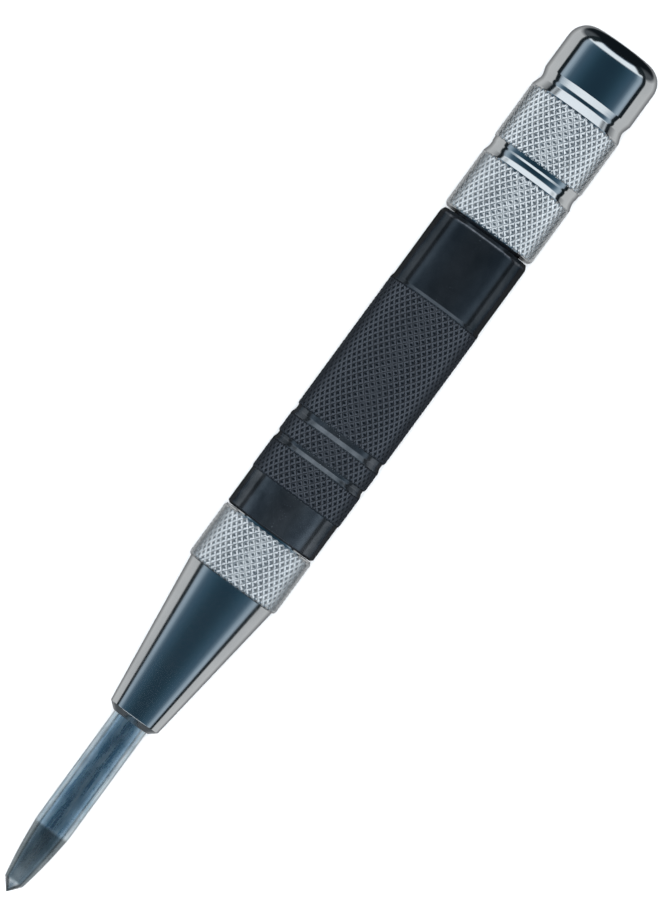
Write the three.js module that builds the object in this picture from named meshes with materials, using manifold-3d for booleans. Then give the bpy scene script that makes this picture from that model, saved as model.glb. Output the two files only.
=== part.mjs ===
// An automatic center punch: pressing the point against the work lifts a hammer against a strong spring,
// and at the end of the stroke a sear lets the hammer fall on the plunger behind the point.
//
// Millimetres, +Z up. The tool lies along X with its point towards -X and its adjusting cap towards +X.
// Every length along the tool is a station: the distance from the very tip of the point.

import * as THREE from "three";
import { mergeVertices } from "three/addons/utils/BufferGeometryUtils.js";
import Module from "manifold-3d";

const wasm = await Module();
wasm.setup();

// ---------------------------------------------------------------- driving dimensions

const TOOL_LENGTH = 130;
const FACETS = 48; // flats round every outside shell, a multiple of 4
const FINE_FACETS = 32; // flats round the small inner pieces, a multiple of 4
const FACE_GAP = 0.3; // between two pieces that bear on each other end to end

const POINT = {
  tipEnd: 1.6, // end of the ground tip
  tipRadius: 1.32,
  taperEnd: 9.45, // end of the dark taper
  taperRadius: 2.4,
  taperBulge: 0.12, // how far the taper stands out from a straight cone
  shankRadius: 2.43,
  shankEnd: 34,
  stubRadius: 1.15, // the threaded stub in the plunger
  stubEnd: 40,
};

const NOSE = {
  mouth: 26.2,
  lipRadius: 2.8,
  chamferEnd: 27.2,
  chamferRadius: 3.6,
  boreRadius: 2.62,
  coneEnd: 47.4,
  coneRadius: 6.2,
  collarRadius: 6.59,
  collarEnd: 55.15,
  collarBevel: 0.38,
  chamberStart: 36.5, // the shoulder that stops the plunger
  chamberRadius: 3.6,
  spigotRadius: 5.0, // thread into the handle
  spigotEnd: 61.7,
};

const HANDLE = {
  start: NOSE.collarEnd + FACE_GAP,
  end: 100.9,
  plainRadius: 6.51,
  knurlRadius: 6.65,
  grooveRadius: 6.47,
  endBevel: 0.3,
  knurls: [
    [60.8, 65.3],
    [66.3, 69.2],
    [70.4, 90.3],
  ],
  knurlBevel: 0.12,
  noseThreadRadius: 5.25,
  noseThreadEnd: 64.5,
  wideRadius: 4.8, // where the sear may stand out of the hammer
  tripStart: 80, // the taper that centres the sear
  tripEnd: 83.5,
  boreRadius: 4.2,
  capThreadRadius: 5.35,
  capThreadEnd: 112.5,
  threadBevel: 0.5,
};

const BUSH = {
  start: NOSE.spigotEnd + FACE_GAP,
  end: 64.2,
  radius: 5.05,
  boreRadius: 2.1,
};

const PLUNGER = {
  start: POINT.shankEnd + FACE_GAP,
  flangeStart: NOSE.chamberStart + FACE_GAP,
  flangeEnd: 39.3,
  flangeRadius: 3.4,
  rodRadius: 1.9,
  anvil: 60, // the end that the hammer strikes
  socketRadius: 1.25,
  socketEnd: 40.3,
  pinHoleRadius: 1.0,
  pinHoleStart: 53.7,
};

const SEAR = {
  station: 73.8,
  radius: 1.4,
  holeRadius: 1.1,
  offset: 0.9, // how far its hole stands off the tool's axis at rest
  top: 4.5,
  bottom: -1.7,
  bevel: 0.3,
};

const TRIP_PIN = {
  start: 54,
  radius: 0.9,
  end: SEAR.station - SEAR.radius - FACE_GAP,
};

const HAMMER = {
  start: BUSH.end + 0.4,
  radius: 4.05,
  bevel: 0.4,
  shoulder: 86,
  spigotRadius: 2.0,
  spigotEnd: 89,
  pinBoreRadius: 1.15,
  pinBoreEnd: 80,
  searHoleRadius: 1.55,
  searHoleFloor: -3.65,
};

const SPRING_SEAT = {
  spigotStart: 105.5,
  spigotRadius: 2.0,
  flangeStart: 108,
  flangeEnd: 110,
  flangeRadius: 3.95,
  stemRadius: 2.2,
};

const CAP = {
  start: 101.2,
  knurlRadius: 6.6,
  firstKnurlEnd: 109.5,
  grooveRadius: 6.43,
  grooveBevel: 0.15,
  secondKnurlStart: 111.7,
  secondKnurlEnd: 119.5,
  reliefRadius: 6.21,
  reliefStart: 119.9,
  reliefEndRadius: 6.36,
  reliefEnd: 122.2,
  headRadius: 6.52,
  cornerRadius: 2.1,
  bevel: 0.32,
  threadRadius: 5.6,
  threadEnd: 118, // the floor that the spring seat's stem bears on
};

const RETURN_SPRING = { start: 39.6, end: 61.7, coilRadius: 2.75, wireRadius: 0.3, turns: 9 };
const MAIN_SPRING = { start: 86.3, end: 107.7, coilRadius: 3.0, wireRadius: 0.6, turns: 8 };
const SEAR_SPRING = { start: -3.6, end: -1.75, coilRadius: 0.9, wireRadius: 0.14, turns: 2.5 };

const AXIS_HEIGHT = HANDLE.knurlRadius * Math.cos(Math.PI / FACETS); // the tool lies on a flat

// ---------------------------------------------------------------- materials

const finish = (color, roughness, metalness) => () =>
  new THREE.MeshStandardMaterial({ color, roughness, metalness });

const chrome = finish(0xc9ccd0, 0.12, 1);
const blackOxide = finish(0x1c2024, 0.35, 0.8);
const bluedSteel = finish(0x4a5560, 0.4, 0.9);
const groundSteel = finish(0x9a9c9e, 0.3, 1);
const springSteel = finish(0x6f7478, 0.35, 1);

// ---------------------------------------------------------------- shape helpers

// A turned piece from its outline, [station, radius] pairs that run up the outside and back down the bore.
function turned(outline, facets = FACETS) {
  const points = outline.map(([station, radius]) => new THREE.Vector2(radius, station));
  const halfFlat = Math.PI / facets; // puts a flat, not an edge, at the very top and bottom
  return new THREE.LatheGeometry(points, facets, halfFlat, 2 * Math.PI).rotateZ(-Math.PI / 2);
}

// Points of a round stretch of an outline, from one angle to another about a centre.
function arc([station, radius], size, from, to, steps) {
  return Array.from({ length: steps + 1 }, (_, i) => {
    const angle = from + ((to - from) * i) / steps;
    return [station + size * Math.sin(angle), radius + size * Math.cos(angle)];
  });
}

// A band that stands proud or deep of its neighbours, with a small bevel at both ends.
function band(start, end, radius, bevel, neighbourRadius) {
  return [
    [start, neighbourRadius],
    [start + bevel, radius],
    [end - bevel, radius],
    [end, neighbourRadius],
  ];
}

// A helix along +Z with its end turns closed up, as on a compression spring.
class SpringCurve extends THREE.Curve {
  constructor({ start, end, coilRadius, wireRadius, turns }) {
    super();
    this.low = start + wireRadius;
    this.high = end - wireRadius;
    this.coilRadius = coilRadius;
    this.turns = turns;
    this.wire = 2 * wireRadius;
  }

  getPoint(t, target = new THREE.Vector3()) {
    const turn = t * this.turns;
    const closed = this.wire * 1.1; // rise of a closed end turn
    const open = (this.high - this.low - 2 * closed) / (this.turns - 2);
    let rise = closed + open * (turn - 1);
    if (turn < 1) rise = closed * turn;
    if (turn > this.turns - 1) rise = this.high - this.low - closed * (this.turns - turn);
    const angle = 2 * Math.PI * turn;
    return target.set(
      this.coilRadius * Math.cos(angle),
      this.coilRadius * Math.sin(angle),
      this.low + rise,
    );
  }
}

function spring(size, stepsPerTurn, sides) {
  const section = new THREE.Shape().absarc(0, 0, size.wireRadius, 0, 2 * Math.PI);
  return new THREE.ExtrudeGeometry(section, {
    extrudePath: new SpringCurve(size),
    steps: Math.round(size.turns * stepsPerTurn),
    curveSegments: sides / 2,
    bevelEnabled: false,
  });
}

// A round bar between two points, to cut with or to shape.
function bar(radius, from, to, facets = FINE_FACETS) {
  const along = new THREE.Vector3().subVectors(to, from);
  const turn = new THREE.Quaternion().setFromUnitVectors(
    new THREE.Vector3(0, 1, 0),
    along.clone().normalize(),
  );
  const middle = new THREE.Vector3().addVectors(from, to).multiplyScalar(0.5);
  return new THREE.CylinderGeometry(radius, radius, along.length(), facets)
    .applyQuaternion(turn)
    .translate(middle.x, middle.y, middle.z);
}

// A closed geometry as a solid that can be joined and cut.
function solid(geometry) {
  const bare = (geometry.index ? geometry.toNonIndexed() : geometry.clone())
    .deleteAttribute("normal")
    .deleteAttribute("uv");
  const merged = mergeVertices(bare, 1e-4);
  return new wasm.Manifold(
    new wasm.Mesh({
      numProp: 3,
      vertProperties: merged.attributes.position.array,
      triVerts: new Uint32Array(merged.index.array),
    }),
  );
}

function geometryOf(manifold) {
  const mesh = manifold.getMesh();
  return new THREE.BufferGeometry()
    .setAttribute("position", new THREE.BufferAttribute(mesh.vertProperties, 3))
    .setIndex(new THREE.BufferAttribute(mesh.triVerts, 1));
}

// ---------------------------------------------------------------- the pieces

function punchPoint() {
  const taper = [];
  const taperSteps = 5;
  for (let i = 0; i <= taperSteps; i++) {
    const t = i / taperSteps;
    const straight = POINT.tipRadius + (POINT.taperRadius - POINT.tipRadius) * t;
    taper.push([
      POINT.tipEnd + (POINT.taperEnd - POINT.tipEnd) * t,
      straight + POINT.taperBulge * Math.sin(Math.PI * t),
    ]);
  }
  return turned([
    [0, 0],
    ...taper,
    [POINT.taperEnd + 0.4, POINT.shankRadius],
    [POINT.shankEnd, POINT.shankRadius],
    [POINT.shankEnd, POINT.stubRadius],
    [POINT.stubEnd, POINT.stubRadius],
    [POINT.stubEnd, 0],
  ]);
}

function noseCone() {
  return turned([
    [NOSE.mouth, NOSE.boreRadius],
    [NOSE.mouth, NOSE.lipRadius],
    [NOSE.chamferEnd, NOSE.chamferRadius],
    [NOSE.coneEnd, NOSE.coneRadius],
    [NOSE.coneEnd + NOSE.collarBevel, NOSE.collarRadius],
    [NOSE.collarEnd - NOSE.collarBevel, NOSE.collarRadius],
    [NOSE.collarEnd, NOSE.collarRadius - NOSE.collarBevel],
    [NOSE.collarEnd, NOSE.spigotRadius],
    [NOSE.spigotEnd, NOSE.spigotRadius],
    [NOSE.spigotEnd, NOSE.chamberRadius],
    [NOSE.chamberStart, NOSE.chamberRadius],
    [NOSE.chamberStart, NOSE.boreRadius],
    [NOSE.mouth, NOSE.boreRadius],
  ]);
}

function handle() {
  const [first, second, third] = HANDLE.knurls;
  const knurl = ([start, end], low) =>
    band(start, end, HANDLE.knurlRadius, HANDLE.knurlBevel, low);
  const faceRadius = HANDLE.plainRadius - HANDLE.endBevel;
  return turned([
    [HANDLE.start, HANDLE.noseThreadRadius],
    [HANDLE.start, faceRadius],
    [HANDLE.start + HANDLE.endBevel, HANDLE.plainRadius],
    ...knurl(first, HANDLE.plainRadius),
    [first[1], HANDLE.grooveRadius],
    ...knurl(second, HANDLE.grooveRadius),
    ...knurl(third, HANDLE.grooveRadius),
    [third[1], HANDLE.plainRadius],
    [HANDLE.end - HANDLE.endBevel, HANDLE.plainRadius],
    [HANDLE.end, faceRadius],
    [HANDLE.end, HANDLE.capThreadRadius],
    [HANDLE.capThreadEnd - HANDLE.threadBevel, HANDLE.capThreadRadius],
    [HANDLE.capThreadEnd, HANDLE.capThreadRadius - HANDLE.threadBevel],
    [HANDLE.capThreadEnd, HANDLE.boreRadius],
    [HANDLE.tripEnd, HANDLE.boreRadius],
    [HANDLE.tripStart, HANDLE.wideRadius],
    [HANDLE.noseThreadEnd, HANDLE.wideRadius],
    [HANDLE.noseThreadEnd, HANDLE.noseThreadRadius],
    [HANDLE.start, HANDLE.noseThreadRadius],
  ]);
}

function guideBush() {
  return turned([
    [BUSH.start, BUSH.boreRadius],
    [BUSH.start, BUSH.radius],
    [BUSH.end, BUSH.radius],
    [BUSH.end, BUSH.boreRadius],
    [BUSH.start, BUSH.boreRadius],
  ]);
}

function plunger() {
  return turned([
    [PLUNGER.start, PLUNGER.socketRadius],
    [PLUNGER.start, POINT.shankRadius],
    [PLUNGER.flangeStart, POINT.shankRadius],
    [PLUNGER.flangeStart, PLUNGER.flangeRadius],
    [PLUNGER.flangeEnd, PLUNGER.flangeRadius],
    [PLUNGER.flangeEnd, PLUNGER.rodRadius],
    [PLUNGER.anvil, PLUNGER.rodRadius],
    [PLUNGER.anvil, PLUNGER.pinHoleRadius],
    [PLUNGER.pinHoleStart, PLUNGER.pinHoleRadius],
    [PLUNGER.pinHoleStart, 0],
    [PLUNGER.socketEnd, 0],
    [PLUNGER.socketEnd, PLUNGER.socketRadius],
    [PLUNGER.start, PLUNGER.socketRadius],
  ]);
}

function tripPin() {
  return turned(
    [
      [TRIP_PIN.start, 0],
      [TRIP_PIN.start, TRIP_PIN.radius],
      [TRIP_PIN.end, TRIP_PIN.radius],
      [TRIP_PIN.end, 0],
    ],
    FINE_FACETS,
  );
}

function hammer() {
  const body = turned([
    [HAMMER.start, HAMMER.pinBoreRadius],
    [HAMMER.start, HAMMER.radius - HAMMER.bevel],
    [HAMMER.start + HAMMER.bevel, HAMMER.radius],
    [HAMMER.shoulder - HAMMER.bevel, HAMMER.radius],
    [HAMMER.shoulder, HAMMER.radius - HAMMER.bevel],
    [HAMMER.shoulder, HAMMER.spigotRadius],
    [HAMMER.spigotEnd, HAMMER.spigotRadius],
    [HAMMER.spigotEnd, 0],
    [HAMMER.pinBoreEnd, 0],
    [HAMMER.pinBoreEnd, HAMMER.pinBoreRadius],
    [HAMMER.start, HAMMER.pinBoreRadius],
  ]);
  const searHole = bar(
    HAMMER.searHoleRadius,
    new THREE.Vector3(SEAR.station, 0, HAMMER.searHoleFloor),
    new THREE.Vector3(SEAR.station, 0, HAMMER.radius + 1),
  );
  return geometryOf(solid(body).subtract(solid(searHole)));
}

function sear() {
  const slug = new THREE.LatheGeometry(
    [
      new THREE.Vector2(0, SEAR.bottom),
      new THREE.Vector2(SEAR.radius, SEAR.bottom),
      new THREE.Vector2(SEAR.radius, SEAR.top - SEAR.bevel),
      new THREE.Vector2(SEAR.radius - SEAR.bevel, SEAR.top),
      new THREE.Vector2(0, SEAR.top),
    ],
    FINE_FACETS,
  )
    .rotateX(Math.PI / 2)
    .translate(SEAR.station, 0, 0);
  const reach = SEAR.radius + 1;
  const pinHole = bar(
    SEAR.holeRadius,
    new THREE.Vector3(SEAR.station - reach, 0, SEAR.offset),
    new THREE.Vector3(SEAR.station + reach, 0, SEAR.offset),
  );
  return geometryOf(solid(slug).subtract(solid(pinHole)));
}

function springSeat() {
  return turned([
    [SPRING_SEAT.spigotStart, 0],
    [SPRING_SEAT.spigotStart, SPRING_SEAT.spigotRadius],
    [SPRING_SEAT.flangeStart, SPRING_SEAT.spigotRadius],
    [SPRING_SEAT.flangeStart, SPRING_SEAT.flangeRadius],
    [SPRING_SEAT.flangeEnd, SPRING_SEAT.flangeRadius],
    [SPRING_SEAT.flangeEnd, SPRING_SEAT.stemRadius],
    [CAP.threadEnd - FACE_GAP, SPRING_SEAT.stemRadius],
    [CAP.threadEnd - FACE_GAP, 0],
  ]);
}

function adjustingCap() {
  const corner = [TOOL_LENGTH - CAP.cornerRadius, CAP.headRadius - CAP.cornerRadius];
  return turned([
    [CAP.start, CAP.threadRadius],
    [CAP.start, CAP.knurlRadius - CAP.bevel],
    [CAP.start + CAP.bevel, CAP.knurlRadius],
    [CAP.firstKnurlEnd, CAP.knurlRadius],
    [CAP.firstKnurlEnd + CAP.grooveBevel, CAP.grooveRadius],
    [CAP.secondKnurlStart - CAP.grooveBevel, CAP.grooveRadius],
    [CAP.secondKnurlStart, CAP.knurlRadius],
    [CAP.secondKnurlEnd, CAP.knurlRadius],
    [CAP.reliefStart, CAP.reliefRadius],
    [CAP.reliefEnd, CAP.reliefEndRadius],
    [CAP.reliefEnd, CAP.headRadius],
    ...arc(corner, CAP.cornerRadius, 0, Math.PI / 2, 5),
    [TOOL_LENGTH, 0],
    [CAP.threadEnd, 0],
    [CAP.threadEnd, CAP.threadRadius],
    [CAP.start, CAP.threadRadius],
  ]);
}

const alongTool = (geometry) => geometry.rotateY(Math.PI / 2);

const returnSpring = () => alongTool(spring(RETURN_SPRING, 12, 6));
const mainSpring = () => alongTool(spring(MAIN_SPRING, 14, 8));
const searSpring = () => spring(SEAR_SPRING, 12, 6).translate(SEAR.station, 0, 0);

// ---------------------------------------------------------------- the assembly

const PIECES = [
  ["punch_point", punchPoint, bluedSteel],
  ["plunger", plunger, groundSteel],
  ["trip_pin", tripPin, groundSteel],
  ["return_spring", returnSpring, springSteel],
  ["guide_bush", guideBush, groundSteel],
  ["nose_cone", noseCone, chrome],
  ["handle", handle, blackOxide],
  ["hammer", hammer, groundSteel],
  ["sear", sear, groundSteel],
  ["sear_spring", searSpring, springSteel],
  ["main_spring", mainSpring, springSteel],
  ["spring_seat", springSeat, groundSteel],
  ["adjusting_cap", adjustingCap, chrome],
];

const centerPunch = new THREE.Group();
centerPunch.position.set(-TOOL_LENGTH / 2, 0, AXIS_HEIGHT);
for (const [name, shape, material] of PIECES) {
  const mesh = new THREE.Mesh(shape(), material());
  mesh.name = name;
  centerPunch.add(mesh);
}

export default centerPunch;
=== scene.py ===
"""Looks of an automatic center punch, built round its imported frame.

The tool lies along X with its point towards -X. Lengths along it are stations: millimetres from the tip of
the point. A turned piece is a grid of rows: each row is a station and one radius, or a radius for each step
round the axis.
"""

import math

import bmesh
import bpy
import numpy as np
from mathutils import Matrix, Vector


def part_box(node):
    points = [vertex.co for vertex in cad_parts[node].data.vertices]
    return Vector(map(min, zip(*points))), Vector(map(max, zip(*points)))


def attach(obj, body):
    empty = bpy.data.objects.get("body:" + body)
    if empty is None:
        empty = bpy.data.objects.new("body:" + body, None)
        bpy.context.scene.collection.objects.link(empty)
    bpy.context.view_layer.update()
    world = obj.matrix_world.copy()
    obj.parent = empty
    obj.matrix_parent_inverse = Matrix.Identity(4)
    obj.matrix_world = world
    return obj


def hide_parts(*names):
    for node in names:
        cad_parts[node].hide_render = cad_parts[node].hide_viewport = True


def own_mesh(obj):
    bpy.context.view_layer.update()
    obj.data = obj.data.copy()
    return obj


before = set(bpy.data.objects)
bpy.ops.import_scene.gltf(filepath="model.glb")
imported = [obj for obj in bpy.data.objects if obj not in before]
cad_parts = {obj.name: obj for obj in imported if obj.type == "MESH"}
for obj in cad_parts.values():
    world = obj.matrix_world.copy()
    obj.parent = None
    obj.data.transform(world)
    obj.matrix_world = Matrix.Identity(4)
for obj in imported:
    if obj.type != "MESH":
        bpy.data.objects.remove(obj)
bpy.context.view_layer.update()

# ---------------------------------------------------------------- the frame's own places

MM = 0.001
TIP_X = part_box("punch_point")[0].x
AXIS_Z = (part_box("handle")[0].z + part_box("handle")[1].z) / 2


def span(node):
    """First station, last station and largest radius of a CAD node, in millimetres."""
    low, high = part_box(node)
    return (low.x - TIP_X) / MM, (high.x - TIP_X) / MM, (high.y - low.y) / 2 / MM


NOSE_START, NOSE_END, NOSE_RADIUS = span("nose_cone")
HANDLE_START, HANDLE_END, HANDLE_RADIUS = span("handle")
CAP_START, CAP_END, CAP_RADIUS = span("adjusting_cap")
BUSH_START, BUSH_END, BUSH_RADIUS = span("guide_bush")
POINT_END = span("punch_point")[1]

# ---------------------------------------------------------------- driving dimensions, in millimetres

KNURL_COUNT = 42  # grooves of each hand round the tool
KNURL_PITCH = 1.125  # along the tool
KNURL_DEPTH = 0.17
KNURL_FLAT = 2 / 3  # height at which the pyramids are cut off, of a full pyramid
KNURL_STEPS = 6  # mesh steps across one diamond
KNURL_FADE = 0.15  # length over which a knurl starts or ends
KNURL_TOP = 0.5  # the groove attribute is 0 on plain metal, this on a knurl's tops and 1 in its grooves
AROUND = KNURL_COUNT * KNURL_STEPS

EDGE = 0.08  # radius of an ordinary broken edge
ARC_STEPS = 4  # mesh steps along an ordinary fillet
BROAD_FILLET = 0.5  # a fillet wider than this gets four times the steps
SHARED_SIDE = 0.48  # how much of a side a fillet may take where the side's other end has one too
LONE_SIDE = 0.95  # and where it has none
GUARD = 0.03  # from a fillet to the row that keeps its shading off the straight stretch
SHARP_DEG = 38  # edges that bend more than this are shaded sharp
CREST_DROP = 0.01  # how far below its own height a knurl fades out

TIP_END = 1.6  # of the point's ground tip
TAPER_END = 9.45  # of its dark taper
THREAD_PITCH = 1.0
THREAD_DEPTH = 0.45
THREAD_STEPS = 7  # mesh steps along one pitch
THREAD_PLAY = 0.1
THREAD_STEEPNESS = 1.35  # above 1, so that crests and roots come out flat
THREAD_ROOT = 0.17
NOSE_THREAD = 5.0  # crest radius of the thread between nose and handle
CAP_THREAD = 5.35  # crest radius of the thread between handle and cap

# ---------------------------------------------------------------- rows of turned pieces


class Row:
    """One ring of a turned piece: its station, its radii, how far into a groove it is and how worn."""

    def __init__(self, station, radius, groove=0.0, wear=0.0, split=None):
        self.station = station
        self.radius = np.broadcast_to(np.asarray(radius, float), AROUND)
        self.groove = np.broadcast_to(np.asarray(groove, float), AROUND)
        self.wear = np.broadcast_to(np.asarray(wear, float), AROUND)
        self.split = split  # towards the next row: True where the quads part along the other diagonal


def rounded(corners):
    """Rows of an outline whose corners are (station, radius) or (station, radius, fillet).

    A guard row beside each fillet keeps its shading off the straight stretch next to it.
    """
    points = [np.array(c[:2], float) for c in corners]
    fillets = [c[2] if len(c) > 2 else 0.0 for c in corners]
    rows = []
    for i, (corner, fillet) in enumerate(zip(points, fillets)):
        if fillet == 0 or i in (0, len(points) - 1):
            rows.append(Row(*corner))
            continue
        back, ahead = points[i - 1] - corner, points[i + 1] - corner
        back_length, ahead_length = np.hypot(*back), np.hypot(*ahead)
        back, ahead = back / back_length, ahead / ahead_length
        half = math.acos(np.clip(back @ ahead, -1, 1)) / 2
        room_back = back_length * (SHARED_SIDE if fillets[i - 1] else LONE_SIDE)
        room_ahead = ahead_length * (SHARED_SIDE if fillets[i + 1] else LONE_SIDE)
        reach = min(fillet / math.tan(half), room_back, room_ahead)
        middle = (back + ahead) / np.hypot(*(back + ahead))
        centre = corner + middle * reach / math.cos(half)
        size = reach * math.tan(half)
        start, end = corner + back * reach - centre, corner + ahead * reach - centre
        first, last = math.atan2(*start[::-1]), math.atan2(*end[::-1])
        turn = (last - first + math.pi) % (2 * math.pi) - math.pi
        steps = ARC_STEPS if fillet <= BROAD_FILLET else 4 * ARC_STEPS
        if room_back > reach + GUARD:
            rows.append(Row(*(corner + back * (reach + GUARD))))
        for k in range(steps + 1):
            angle = first + turn * k / steps
            station, radius = centre[0] + size * math.cos(angle), centre[1] + size * math.sin(angle)
            rows.append(Row(station, radius, wear=math.sin(math.pi * k / steps)))
        if room_ahead > reach + GUARD:
            rows.append(Row(*(corner + ahead * (reach + GUARD))))
    return rows


def triangle_wave(x):
    """Goes from 0 up to 1 and back, once in each unit of x."""
    return 1 - np.abs(2 * (x % 1) - 1)


def knurled(start, repeats, peak, before, after):
    """Rows of a diamond knurl, `repeats` diamonds long. It fades to the radii before and after it."""
    floor = peak - KNURL_DEPTH
    i = np.arange(AROUND)
    count = round(repeats * KNURL_STEPS)
    length = repeats * KNURL_PITCH
    rows = []
    for j in range(count + 1):
        z = length * j / count
        height = np.minimum(triangle_wave((i + j) / KNURL_STEPS), triangle_wave((i - j) / KNURL_STEPS))
        height = np.minimum(height / KNURL_FLAT, 1)
        share = min(1.0, z / KNURL_FADE, (length - z) / KNURL_FADE)
        beside = before if z < length / 2 else after
        radius = beside + share * (floor + KNURL_DEPTH * height - beside)
        middle_u = triangle_wave((i + j + 1) / KNURL_STEPS)
        middle_v = triangle_wave((i - j) / KNURL_STEPS)
        groove = share * (KNURL_TOP + (1 - KNURL_TOP) * (1 - height))
        rows.append(Row(start + z, radius, groove, split=middle_u < middle_v))
    return rows


def threaded(start, end, radius, internal=False):
    """Rows of a right-hand thread from one station to another. Its radius is the screw's, at the crests.

    Both ends fade out: into the wall where the thread is internal, down to the root where it isn't.
    """
    count = int(round(abs(end - start) / THREAD_PITCH * THREAD_STEPS))
    turn = np.arange(AROUND) / AROUND
    rows = []
    for j in range(count + 1):
        station = start + (end - start) * j / count
        wave = triangle_wave(station / THREAD_PITCH - turn)
        shape = np.clip(THREAD_STEEPNESS * wave - THREAD_ROOT, 0, 1)
        fade = min(1.0, j / THREAD_STEPS, (count - j) / THREAD_STEPS)
        if internal:
            depth = THREAD_DEPTH * (1 - shape) * fade
            rows.append(Row(station, radius + THREAD_PLAY - depth, 1 - shape))
        else:
            rows.append(Row(station, radius - THREAD_DEPTH * (1 - shape * fade), 1 - shape * fade))
    return rows


def ring_points(rings):
    """Points of all the rings, one ring after the other, in metres."""
    angle = 2 * math.pi * np.arange(AROUND) / AROUND
    points = np.empty((len(rings), AROUND, 3))
    for k, row in enumerate(rings):
        points[k, :, 0] = TIP_X + row.station * MM
        points[k, :, 1] = row.radius * np.cos(angle) * MM
        points[k, :, 2] = AXIS_Z + row.radius * np.sin(angle) * MM
    return points.reshape(-1, 3)


def ring_faces(rings, looped):
    """Faces from each ring to the next, and from the last to the first where the rings make a loop."""
    here = np.arange(AROUND)
    beside = (here + 1) % AROUND
    faces = []
    for k in range(len(rings) if looped else len(rings) - 1):
        ahead = (k + 1) % len(rings)
        a, b = k * AROUND + here, k * AROUND + beside
        c, d = ahead * AROUND + beside, ahead * AROUND + here
        flip = rings[k].split
        if flip is None or ahead == 0:
            faces += np.stack([a, b, c, d], 1).tolist()
            continue
        faces += np.stack([a, b, d], 1)[flip].tolist() + np.stack([b, c, d], 1)[flip].tolist()
        faces += np.stack([a, b, c], 1)[~flip].tolist() + np.stack([a, c, d], 1)[~flip].tolist()
    return faces


def turned(name, rows, body, node, material):
    """A closed piece from rows: a loop of rings, or a solid whose first and last row lie on the axis."""
    solid = rows[0].radius.max() == 0
    rings = rows[1:-1] if solid else rows
    points, faces = ring_points(rings), ring_faces(rings, looped=not solid)
    groove = np.concatenate([row.groove for row in rings])
    wear = np.concatenate([row.wear for row in rings])
    if solid:
        here = np.arange(AROUND)
        beside = (here + 1) % AROUND
        last_ring = (len(rings) - 1) * AROUND
        first_pole, last_pole = np.full(AROUND, len(points)), np.full(AROUND, len(points) + 1)
        faces += np.stack([first_pole, beside, here], 1).tolist()
        faces += np.stack([last_ring + here, last_ring + beside, last_pole], 1).tolist()
        poles = [[TIP_X + row.station * MM, 0, AXIS_Z] for row in (rows[0], rows[-1])]
        points = np.vstack([points, poles])
        groove, wear = np.append(groove, [0, 0]), np.append(wear, [0, 0])
    mesh = bpy.data.meshes.new(name)
    mesh.from_pydata(points.tolist(), [], faces)
    for label, values in (("groove", groove), ("wear", wear)):
        attribute = mesh.attributes.new(label, "FLOAT", "POINT")
        attribute.data.foreach_set("value", values.astype(np.float32))
    mesh.shade_smooth()
    mesh.set_sharp_from_angle(angle=math.radians(SHARP_DEG))
    return place(name, mesh, body, node, material)


def place(name, mesh, body, node, material):
    """Puts a finished mesh in the scene as the piece that stands for a CAD node."""
    mesh.materials.append(material)
    piece = bpy.data.objects.new(name, mesh)
    bpy.context.scene.collection.objects.link(piece)
    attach(piece, body)
    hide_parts(node)
    return piece


# ---------------------------------------------------------------- material helpers


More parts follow.
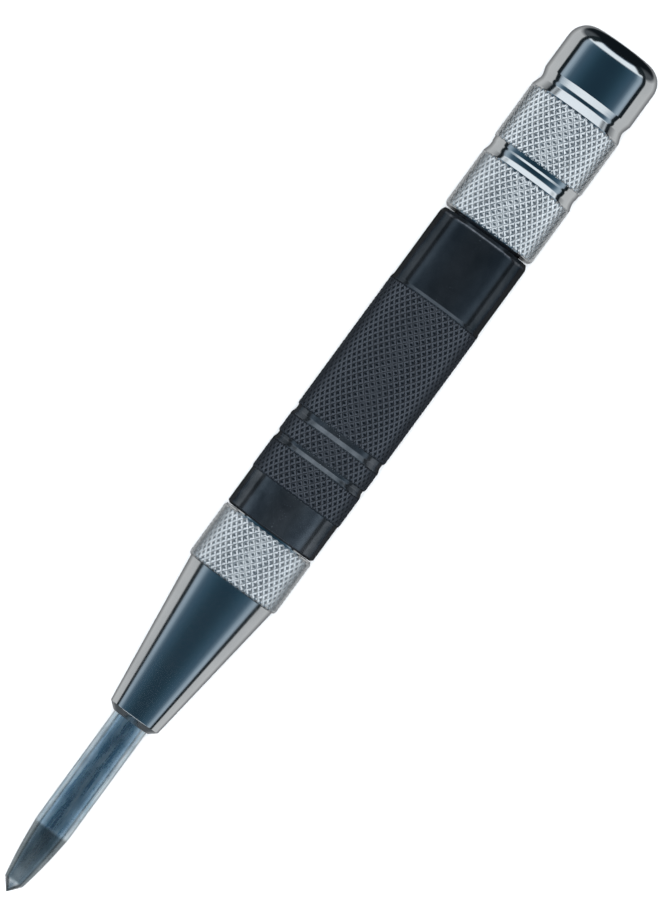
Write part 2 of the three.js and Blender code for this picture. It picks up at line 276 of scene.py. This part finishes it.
class Nodes:
    """A procedural material under construction."""

    def __init__(self, name, metallic=1.0, **sockets):
        self.material = bpy.data.materials.new(name)
        self.material.use_nodes = True
        self.tree = self.material.node_tree
        self.shader = self.tree.nodes["Principled BSDF"]
        self.shader.inputs["Metallic"].default_value = metallic
        for socket, value in sockets.items():
            self.shader.inputs[socket.replace("_", " ")].default_value = value
        self.place = self.add("ShaderNodeTexCoord").outputs["Object"]

    def add(self, kind, **properties):
        node = self.tree.nodes.new(kind)
        for key, value in properties.items():
            setattr(node, key, value)
        return node

    def link(self, source, target):
        self.tree.links.new(source, target)

    def noise(self, scale, stretch=(1, 1, 1), detail=4.0, roughness=0.55):
        """Noise in the piece's own frame; scale is in cells per millimetre."""
        mapping = self.add("ShaderNodeMapping")
        mapping.inputs["Scale"].default_value = [scale / MM * s for s in stretch]
        self.link(self.place, mapping.inputs["Vector"])
        texture = self.add("ShaderNodeTexNoise")
        texture.inputs["Scale"].default_value = 1.0
        texture.inputs["Detail"].default_value = detail
        texture.inputs["Roughness"].default_value = roughness
        self.link(mapping.outputs["Vector"], texture.inputs["Vector"])
        return texture.outputs["Fac"]

    def attribute(self, label):
        return self.add("ShaderNodeAttribute", attribute_name=label).outputs["Fac"]

    def station(self, first, last):
        """0 at one station of the tool and 1 at another."""
        parts = self.add("ShaderNodeSeparateXYZ")
        self.link(self.place, parts.inputs["Vector"])
        return self.spread(parts.outputs["X"], TIP_X + first * MM, TIP_X + last * MM, 0, 1)

    def spread(self, source, low, high, to_low, to_high):
        """Takes the source's range from low to high over to another range, and clamps it there."""
        node = self.add("ShaderNodeMapRange")
        self.link(source, node.inputs["Value"])
        limits = {"From Min": low, "From Max": high, "To Min": to_low, "To Max": to_high}
        for socket, value in limits.items():
            node.inputs[socket].default_value = value
        return node.outputs["Result"]

    def mix(self, factor, a, b):
        node = self.add("ShaderNodeMix", data_type="RGBA")
        for label, value in (("Factor", factor), ("A", a), ("B", b)):
            self.feed(value, node.inputs[label])
        return node.outputs["Result"]

    def math(self, operation, a, b, clamp=False):
        node = self.add("ShaderNodeMath", operation=operation, use_clamp=clamp)
        self.feed(a, node.inputs[0])
        self.feed(b, node.inputs[1])
        return node.outputs["Value"]

    def feed(self, value, socket):
        """Links a socket, or sets a color or a number on it."""
        if isinstance(value, bpy.types.NodeSocket):
            self.link(value, socket)
        elif isinstance(value, (tuple, list)):
            socket.default_value = (*value, 1)
        else:
            socket.default_value = value

    def bump(self, heights, distance):
        """Bumps the surface by the heights, which are worth `distance` millimetres."""
        node = self.add("ShaderNodeBump")
        node.inputs["Distance"].default_value = distance * MM
        self.link(heights, node.inputs["Height"])
        self.link(node.outputs["Normal"], self.shader.inputs["Normal"])

    def set(self, **sockets):
        for socket, value in sockets.items():
            self.feed(value, self.shader.inputs[socket.replace("_", " ")])
        return self.material


def knurl_parts(m):
    """Two factors: 1 anywhere in a knurl, and 1 on the sides of its grooves only."""
    groove = m.attribute("groove")
    return m.spread(groove, 0, 0.4, 0, 1), m.spread(groove, KNURL_TOP, 0.65, 0, 1)


def chrome_material(name, smooth, rough):
    """Plated steel. Its knurl's tops are dull and painted darker as shade, its sides painted brighter as a
    highlight.
    """
    clean, smudged = (0.50, 0.53, 0.55), (0.43, 0.46, 0.48)
    # The knurl's tops are painted darker than the plate, as shade, and its sides mostly brighter, as a
    # highlight.
    shaded_top, pale_side, dark_side = (0.36, 0.38, 0.40), (0.66, 0.69, 0.71), (0.45, 0.48, 0.50)
    m = Nodes(name)
    smudge = m.noise(0.12, detail=5)
    grain = m.noise(2.5, detail=3)
    turning = m.noise(9.0, stretch=(1, 0.02, 0.02), detail=2)
    knurled, side = knurl_parts(m)
    # Painted highlight on the knurl's sides, varied at random by the grain.
    side_tone = m.mix(m.spread(grain, 0.35, 0.65, 0, 1), pale_side, dark_side)
    plate = m.mix(m.spread(smudge, 0.35, 0.7, 0, 1), clean, smudged)
    # On the knurl: painted shade on the tops, the painted highlight on the sides.
    color = m.mix(knurled, plate, m.mix(side, shaded_top, side_tone))
    gloss = m.math("ADD", m.spread(smudge, 0.3, 0.75, smooth, rough), m.math("MULTIPLY", turning, 0.04))
    dull = m.math("SUBTRACT", m.math("MULTIPLY", knurled, 0.30), m.math("MULTIPLY", side, 0.14))
    m.bump(turning, 0.0012)
    return m.set(Base_Color=color, Roughness=m.math("ADD", gloss, dull))


def black_oxide_material():
    """Blackened steel, blotchy in front and darker behind, rubbed grey on its edges."""
    dark, pale, behind = (0.048, 0.058, 0.068), (0.112, 0.126, 0.142), (0.024, 0.032, 0.040)
    # The knurl's tops are painted darker than the oxide, as shade; its sides keep an oxide tone that varies
    # at random.
    shaded_top, dark_side, pale_side = (0.020, 0.025, 0.032), (0.040, 0.047, 0.058), (0.074, 0.083, 0.097)
    bare = (0.20, 0.21, 0.23)
    m = Nodes("black_oxide", metallic=0.85, Specular_IOR_Level=0.15, Specular_Tint=(0.08, 0.08, 0.08, 1))
    blotch = m.noise(0.22, detail=7, roughness=0.65)
    fine = m.noise(2.2, detail=4)
    turning = m.noise(7.0, stretch=(1, 0.03, 0.03), detail=2)
    knurled, side = knurl_parts(m)
    oxide = m.mix(m.spread(blotch, 0.35, 0.65, 0, 1), dark, pale)
    oxide = m.mix(m.station(70, 95), oxide, m.mix(0.65, oxide, behind))
    # Painted shade on the knurl's tops.
    side_tone = m.mix(side, shaded_top, m.mix(fine, dark_side, pale_side))
    rubbed = m.math("MULTIPLY", m.attribute("wear"), m.spread(fine, 0.35, 0.7, 0.1, 0.6), clamp=True)
    color = m.mix(rubbed, m.mix(knurled, oxide, side_tone), bare)
    gloss = m.spread(blotch, 0.3, 0.7, 0.09, 0.17)
    m.bump(m.math("ADD", turning, fine), 0.002)
    return m.set(Base_Color=color, Roughness=m.math("ADD", gloss, m.math("MULTIPLY", knurled, 0.14)))


def blued_steel_material():
    """The point: bright ground tip, dark taper, blued shank with drawn streaks along it."""
    tip, dark_taper, pale_taper = (0.62, 0.65, 0.67), (0.16, 0.20, 0.22), (0.26, 0.31, 0.34)
    blue, bright, cloudy = (0.38, 0.54, 0.66), (0.74, 0.82, 0.87), (0.28, 0.38, 0.46)
    m = Nodes("blued_steel")
    streak = m.noise(1.6, stretch=(0.12, 1, 1), detail=5, roughness=0.65)
    cloud = m.noise(0.35, detail=5)
    grain = m.noise(6.0, detail=3)
    shank = m.mix(m.spread(streak, 0.35, 0.65, 0, 1), blue, bright)
    shank = m.mix(m.spread(cloud, 0.45, 0.7, 0, 0.6), shank, cloudy)
    taper = m.mix(m.spread(cloud, 0.35, 0.65, 0, 1), dark_taper, pale_taper)
    color = m.mix(m.station(TIP_END - 0.1, TIP_END + 0.15), tip, taper)
    color = m.mix(m.station(TAPER_END - 0.15, TAPER_END + 0.25), color, shank)
    rough = m.math("ADD", m.spread(streak, 0.3, 0.7, 0.19, 0.30), m.math("MULTIPLY", grain, 0.08))
    m.bump(m.math("ADD", streak, grain), 0.004)
    return m.set(Base_Color=color, Roughness=rough)


def steel_material(name, tint, low, high):
    """Plain turned steel, its roughness between low and high."""
    m = Nodes(name)
    turning = m.noise(5.0, stretch=(1, 0.05, 0.05), detail=3)
    cloud = m.noise(0.5)
    color = m.mix(m.spread(cloud, 0.3, 0.7, 0, 1), tint, [0.8 * t for t in tint])
    m.bump(turning, 0.003)
    return m.set(Base_Color=color, Roughness=m.spread(turning, 0.3, 0.7, low, high))


CHROME = chrome_material("chrome", 0.05, 0.11)
SATIN_CHROME = chrome_material("chrome_satin", 0.09, 0.15)
BLACK_OXIDE = black_oxide_material()
BLUED_STEEL = blued_steel_material()
GROUND_STEEL = steel_material("ground_steel", (0.62, 0.63, 0.64), 0.18, 0.30)
SPRING_STEEL = steel_material("spring_steel", (0.42, 0.44, 0.46), 0.25, 0.38)

# ---------------------------------------------------------------- the turned outside pieces


def punch_point():
    tip_radius, taper_radius, bulge = 1.32, 2.40, 0.12
    shank, shank_end, stub = 2.43, 34.0, 1.15
    steps = 24
    rows = rounded([(0.0, 0.0), (0.03, 0.03), (TIP_END, tip_radius)])
    for k in range(1, steps + 1):
        t = k / steps
        radius = tip_radius + (taper_radius - tip_radius) * t + bulge * math.sin(math.pi * t)
        rows.append(Row(TIP_END + (TAPER_END - TIP_END) * t, radius))
    rows += rounded([
        (TAPER_END + 0.05, taper_radius + 0.005), (TAPER_END + 0.35, shank, 0.2), (shank_end, shank, EDGE),
        (shank_end, stub, 0.02), (POINT_END, stub, EDGE), (POINT_END, 0.0),
    ])
    return turned("point_shaft", rows, "point", "punch_point", BLUED_STEEL)


def nose_cone():
    bore, chamber, spigot_face = 2.56, 3.6, 4.3
    cone_end, cone_radius = 47.4, 6.2
    plunger_stop = 36.5  # station of the shoulder that holds the plunger in
    back, valley = HANDLE_START - 0.16, NOSE_RADIUS - KNURL_DEPTH
    rows = rounded([
        (NOSE_START, bore), (NOSE_START, bore + 0.08, 0.04), (NOSE_START + 0.78, 3.60, 0.15),
        (cone_end, cone_radius),
    ])
    rows += knurled(cone_end + 0.1, 6 + 5 / 6, NOSE_RADIUS, valley, valley)
    rows += rounded([(back, valley), (back, NOSE_THREAD), (back + 0.4, NOSE_THREAD)])
    rows += threaded(back + 0.5, NOSE_END - 0.4, NOSE_THREAD)
    rows += rounded([
        (NOSE_END - 0.3, spigot_face + 0.2), (NOSE_END, spigot_face, 0.05), (NOSE_END, chamber, EDGE),
        (plunger_stop, chamber), (plunger_stop, bore),
    ])
    return turned("nose_cone_turned", rows, "handle", "nose_cone", SATIN_CHROME)


def handle():
    plain, neck, bevel, crest = 6.51, 6.42, 6.22, HANDLE_RADIUS - CREST_DROP
    rear_bore, hammer_bore, bush_bore = 4.2, 4.8, 5.25
    taper_start, taper_end = 80.0, 83.5  # where the bore closes in on the sear
    first, second, third = 60.8, 66.3, 70.4  # where the knurls start
    bush_step = BUSH_END + 0.3
    shoulder = HANDLE_END - 11.6  # the thread for the cap is behind it
    rows = rounded([
        (HANDLE_START, 5.2), (HANDLE_START, bevel, 0.05), (HANDLE_START + 0.28, plain, 0.1),
    ])
    rows.append(Row(first - 0.05, plain))
    rows += knurled(first, 4, HANDLE_RADIUS, plain, crest)
    rows += neck_rows(65.32, second, crest, neck, 0.6)
    rows += knurled(second, 2.5, HANDLE_RADIUS, neck, crest)
    rows += neck_rows(69.14, third, crest, neck, 0.65)
    rows += knurled(third, 17.5, HANDLE_RADIUS, neck, crest)
    rows += rounded([
        (90.11, crest), (90.16, crest, 0.05), (90.56, plain, 0.1), (shoulder - 0.55, plain, 0.9),
        (shoulder, bevel, 0.05), (shoulder, 4.95),
    ])
    rows += threaded(shoulder + 0.4, HANDLE_END - 0.6, CAP_THREAD)
    rows += rounded([
        (HANDLE_END - 0.4, 4.9), (HANDLE_END, 4.7, EDGE), (HANDLE_END, rear_bore, EDGE),
        (taper_end, rear_bore, 0.2), (taper_start, hammer_bore, 0.2), (bush_step, hammer_bore),
        (bush_step, bush_bore), (HANDLE_START + 6.4, bush_bore),
    ])
    rows += threaded(HANDLE_START + 6.3, HANDLE_START + 0.2, NOSE_THREAD, internal=True)
    return turned("handle_knurled", rows, "handle", "handle", BLACK_OXIDE)


def neck_rows(start, end, crest, bottom, ramp):
    """Rows of a turned groove: a shallow ramp down from the knurl before it, and a floor up to the next."""
    return rounded([
        (start, crest), (start + 0.06, crest, 0.05), (start + ramp, bottom, 0.3), (end - 0.03, bottom),
    ])


def adjusting_cap():
    floor, bore, corner = 118.0, 5.45, 2.7
    face, crest, neck, head = CAP_RADIUS - KNURL_DEPTH, CAP_RADIUS - CREST_DROP, 6.40, 6.50
    first, second, repeats = CAP_START + 0.22, 111.7, 7 + 1 / 6
    first_end, second_end = first + repeats * KNURL_PITCH, second + repeats * KNURL_PITCH
    rows = rounded([(floor, 0.0), (floor, bore, 0.3), (HANDLE_END + 1.5, bore)])
    rows += threaded(HANDLE_END + 1.4, CAP_START + 0.3, CAP_THREAD, internal=True)
    rows += rounded([
        (CAP_START + 0.15, 5.5), (CAP_START, 5.65), (CAP_START, 6.2, 0.05), (first - 0.03, face),
    ])
    rows += knurled(first, repeats, CAP_RADIUS, face, crest)
    rows += rounded([
        (first_end + 0.03, crest), (first_end + 0.09, crest, 0.05), (110.35, 6.32, 2.5),
        (110.9, 6.31, 0.05), (111.2, neck, 0.1), (second - 0.03, neck),
    ])
    rows += knurled(second, repeats, CAP_RADIUS, neck, crest)
    rows += rounded([
        (second_end + 0.03, crest), (second_end + 0.09, crest, 0.05), (121.2, 6.11, 1.0),
        (122.4, head, 0.05), (CAP_END, head, corner), (CAP_END, 0.0),
    ])
    return turned("adjusting_cap_turned", rows, "adjusting_cap", "adjusting_cap", CHROME)


# ---------------------------------------------------------------- the pieces inside


def lathe(name, corners, body, node):
    """A plain turned steel piece from its corners."""
    return turned(name, rounded(corners), body, node, GROUND_STEEL)


def plunger():
    start, end, flange = span("plunger")
    sleeve, neck, socket, pin_hole, vent = 2.4, 1.9, 1.25, 1.0, 0.3
    flange_start, flange_end = POINT_END - 3.2, POINT_END - 0.7
    socket_end, pin_hole_start = start + 6, end - 6.3
    lathe(
        "plunger_turned",
        [
            (start, socket), (start, sleeve, EDGE), (flange_start, sleeve), (flange_start, flange, EDGE),
            (flange_end, flange, EDGE), (flange_end, neck), (end, neck, 0.2), (end, pin_hole),
            (pin_hole_start, pin_hole), (pin_hole_start, vent), (socket_end, vent), (socket_end, socket),
        ],
        "point", "plunger",
    )


def trip_pin():
    start, end, radius = span("trip_pin")
    corners = [(start, 0.0), (start, radius, EDGE), (end, radius, 0.2), (end, 0.0)]
    lathe("trip_pin_turned", corners, "point", "trip_pin")


def guide_bush():
    bore = 2.1
    corners = [
        (BUSH_START, bore, EDGE), (BUSH_START, BUSH_RADIUS, EDGE), (BUSH_END, BUSH_RADIUS, EDGE),
        (BUSH_END, bore, EDGE),
    ]
    lathe("guide_bush_turned", corners, "handle", "guide_bush")


def spring_seat():
    start, end, radius = span("spring_seat")
    pilot, pilot_end, stem, stem_start = 2.0, start + 2.5, 2.2, start + 4.5
    corners = [
        (start, 0.0), (start, pilot, 0.3), (pilot_end, pilot), (pilot_end, radius, EDGE),
        (stem_start, radius, EDGE), (stem_start, stem), (end, stem, 0.3), (end, 0.0),
    ]
    lathe("spring_seat_turned", corners, "spring_seat", "spring_seat")


def cross_drilled():
    """The hammer and the sear keep the mesh they were packed with."""
    for node in ("hammer", "sear"):
        for material_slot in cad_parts[node].material_slots:
            material_slot.material = GROUND_STEEL


def coil(name, node, wire, turns, along, body):
    """A compression spring with closed, ground ends, in the box of its CAD node."""
    low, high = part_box(node)
    middle = (low + high) / 2
    across = [i for i in range(3) if i != along]
    wire_radius = wire / 2 * MM
    size = (high[across[0]] - low[across[0]]) / 2 - wire_radius
    length = high[along] - low[along]
    per_turn, sides = 40, 14  # mesh steps along one turn and round the wire
    closed = 2.1 * wire_radius  # rise of the closed turn at each end
    steps = int(per_turn * turns)
    turn = np.arange(steps + 1) / per_turn
    open_pitch = (length - 2 * wire_radius - 2 * closed) / (turns - 2)
    rise = np.where(turn < 1, closed * turn, closed + open_pitch * (turn - 1))
    rise = np.where(turn > turns - 1, length - 2 * wire_radius - closed * (turns - turn), rise)
    angle = 2 * math.pi * turn
    around = 2 * math.pi * np.arange(sides) / sides
    ring = size + wire_radius * np.cos(around)[None, :]
    points = np.empty((steps + 1, sides, 3))
    points[..., across[0]] = middle[across[0]] + ring * np.cos(angle)[:, None]
    points[..., across[1]] = middle[across[1]] + ring * np.sin(angle)[:, None]
    points[..., along] = low[along] + wire_radius + rise[:, None] + wire_radius * np.sin(around)[None, :]
    k, i = np.meshgrid(np.arange(steps), np.arange(sides), indexing="ij")
    i_next = (i + 1) % sides
    faces = np.stack([k * sides + i, k * sides + i_next, (k + 1) * sides + i_next, (k + 1) * sides + i], -1)
    faces = faces.reshape(-1, 4).tolist()
    faces += [list(range(sides))[::-1], [steps * sides + x for x in range(sides)]]
    mesh = bpy.data.meshes.new(name)
    mesh.from_pydata(points.reshape(-1, 3).tolist(), [], faces)
    mesh.shade_smooth()
    mesh.set_sharp_from_angle(angle=math.radians(SHARP_DEG))
    outward(mesh)
    return place(name, mesh, body, node, SPRING_STEEL)


def outward(mesh):
    """Turns a closed mesh's faces to point out."""
    shape = bmesh.new()
    shape.from_mesh(mesh)
    bmesh.ops.recalc_face_normals(shape, faces=shape.faces)
    shape.to_mesh(mesh)
    shape.free()


def springs():
    """The three springs, each parented to one body."""
    piece = coil("return_spring_wire", "return_spring", 0.6, 9, 0, "handle")
    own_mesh(piece)
    piece = coil("main_spring_wire", "main_spring", 1.2, 8, 0, "spring_seat")
    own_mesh(piece)
    piece = coil("sear_spring_wire", "sear_spring", 0.28, 2.5, 2, "hammer")
    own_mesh(piece)


punch_point()
nose_cone()
handle()
adjusting_cap()
plunger()
trip_pin()
guide_bush()
spring_seat()
cross_drilled()
springs()

# ---------------------------------------------------------------- floor, light and camera

CAMERA_HEIGHT = 1.0
VIEW_HEIGHT = 0.11187  # how much of the floor the picture's long side takes in
LEAN_DEG = 53.8  # the tool's slope in the picture
AIM = (0.00306, -0.00007)
FLOOR_HALF = 0.3
FLOOR_DROP = 0.00002  # keeps the floor clear of the tool's underside
LAMP_HEIGHT = 1.6
LAMP_SIDE = 0.5
LAMP_RADIANCE = 44


def pale_floor():
    mesh = bpy.data.meshes.new("floor")
    half = FLOOR_HALF
    corners = [(-half, -half, 0), (half, -half, 0), (half, half, 0), (-half, half, 0)]
    mesh.from_pydata(corners, [], [(0, 1, 2, 3)])
    m = Nodes("floor_paper", metallic=0.0)
    tone = m.mix(m.spread(m.noise(0.02), 0.3, 0.7, 0, 1), (0.90, 0.905, 0.91), (0.88, 0.885, 0.89))
    mesh.materials.append(m.set(Base_Color=tone, Roughness=0.9))
    floor = bpy.data.objects.new("floor", mesh)
    floor.location.z = -FLOOR_DROP
    floor.visible_glossy = False  # the room's own lower half stands for it in the metal
    bpy.context.scene.collection.objects.link(floor)


def overhead_lamp():
    """A soft lamp straight above the tool, which the metal doesn't mirror."""
    lamp = bpy.data.lights.new("overhead", "AREA")
    lamp.shape = "RECTANGLE"
    lamp.size = lamp.size_y = LAMP_SIDE
    lamp.energy = LAMP_RADIANCE * math.pi * LAMP_SIDE**2
    piece = bpy.data.objects.new("overhead", lamp)
    piece.location.z = LAMP_HEIGHT
    piece.visible_glossy = False
    piece.visible_camera = False
    bpy.context.scene.collection.objects.link(piece)


def world_math(tree, operation, *values):
    node = tree.nodes.new("ShaderNodeMath")
    node.operation = operation
    for value, socket in zip(values, node.inputs):
        if isinstance(value, float):
            socket.default_value = value
        else:
            tree.links.new(value, socket)
    return node.outputs["Value"]


def world_ramp(tree, source, stops):
    node = tree.nodes.new("ShaderNodeValToRGB")
    while len(node.color_ramp.elements) < len(stops):
        node.color_ramp.elements.new(0.5)
    for element, (position, color) in zip(node.color_ramp.elements, stops):
        element.position = position
        element.color = (*color, 1) if isinstance(color, tuple) else (color, color, color, 1)
    tree.links.new(source, node.inputs["Fac"])
    return node.outputs["Color"]


def world_mix(tree, factor, a, b):
    node = tree.nodes.new("ShaderNodeMix")
    node.data_type = "RGBA"
    tree.links.new(factor, node.inputs["Factor"])
    for value, socket in ((a, node.inputs["A"]), (b, node.inputs["B"])):
        if isinstance(value, tuple):
            socket.default_value = (*value, 1)
        else:
            tree.links.new(value, socket)
    return node.outputs["Result"]


def upper_room(tree, along, z):
    """A dark blue ceiling over bright low walls, and a soft arch of light over each end of the tool."""
    walls = world_ramp(tree, z, [
        (0.05, (0.012, 0.020, 0.025)),
        (0.10, (0.46, 0.54, 0.62)),
        (0.20, (0.56, 0.68, 0.78)),
        (0.32, (0.38, 0.49, 0.58)),
        (0.40, (0.19, 0.28, 0.36)),
        (0.50, (0.095, 0.165, 0.23)),
        (0.65, (0.062, 0.130, 0.19)),
        (0.80, (0.040, 0.095, 0.140)),
        (0.90, (0.028, 0.070, 0.105)),
        (1.00, (0.022, 0.055, 0.085)),
    ])
    arch = world_ramp(tree, along, [(0.41, 0.0), (0.49, 1.0), (0.74, 1.0), (0.80, 0.0)])
    arched = world_mix(tree, arch, walls, (1.44, 1.50, 1.55))
    above = world_ramp(tree, z, [(0.03, 0.0), (0.10, 1.0)])
    corner = world_math(
        tree, "MULTIPLY",
        world_ramp(tree, along, [(0.50, 0.0), (0.57, 1.0)]),
        world_ramp(tree, z, [(0.22, 1.0), (0.34, 0.0)]),
    )
    return world_mix(tree, corner, world_mix(tree, above, walls, arched), (0.02, 0.03, 0.035))


def lower_room(tree, along, down):
    """A pale floor, darker beyond the tool's ends and in the shadow straight below it."""
    ground = world_ramp(tree, along, [(0.36, (0.84, 0.83, 0.82)), (0.50, (0.13, 0.14, 0.15))])
    shadow = world_ramp(tree, down, [(0.68, 0.0), (0.92, 1.0)])
    return world_mix(tree, shadow, ground, (0.26, 0.265, 0.27))


def black_card(tree, x, y, below):
    """How much of a card beyond the cap is seen. Below the horizon it reaches further in."""
    near_axis = world_ramp(tree, world_math(tree, "ABSOLUTE", y), [(0.50, 1.0), (0.65, 0.0)])
    level = world_ramp(tree, x, [(0.78, 0.0), (0.84, 1.0)])
    low = world_math(tree, "MULTIPLY", below, world_ramp(tree, x, [(0.44, 0.0), (0.56, 1.0)]))
    return world_math(tree, "MULTIPLY", near_axis, world_math(tree, "MAXIMUM", level, low))


def room():
    """The studio as the metal mirrors it. The camera itself sees plain white."""
    world = bpy.data.worlds.new("room")
    bpy.context.scene.world = world
    world.use_nodes = True
    tree = world.node_tree
    parts = tree.nodes.new("ShaderNodeSeparateXYZ")
    tree.links.new(tree.nodes.new("ShaderNodeTexCoord").outputs["Generated"], parts.inputs["Vector"])
    x, y, z = (parts.outputs[axis] for axis in "XYZ")
    along = world_math(tree, "ABSOLUTE", x)
    down = world_math(tree, "MULTIPLY", z, -1.0)
    below = world_ramp(tree, down, [(0.12, 0.0), (0.16, 1.0)])
    lit = world_mix(tree, below, upper_room(tree, along, z), lower_room(tree, along, down))
    lit = world_mix(tree, black_card(tree, x, y, below), lit, (0.010, 0.014, 0.018))
    seen = tree.nodes.new("ShaderNodeLightPath").outputs["Is Camera Ray"]
    tree.links.new(world_mix(tree, seen, lit, (1.0, 1.0, 1.0)), tree.nodes["Background"].inputs["Color"])


def camera():
    """Straight above the tool, turned so that the tool rises to the right."""
    data = bpy.data.cameras.new("camera")
    data.sensor_width = 36
    data.lens = data.sensor_width * CAMERA_HEIGHT / VIEW_HEIGHT
    data.clip_end = 20
    piece = bpy.data.objects.new("camera", data)
    piece.location = (AIM[0], AIM[1], CAMERA_HEIGHT + AXIS_Z)
    piece.rotation_euler = (0, 0, -math.radians(LEAN_DEG))
    bpy.context.scene.collection.objects.link(piece)
    bpy.context.scene.camera = piece


pale_floor()
room()
overhead_lamp()
camera()
bpy.context.scene.view_settings.view_transform = "Standard"
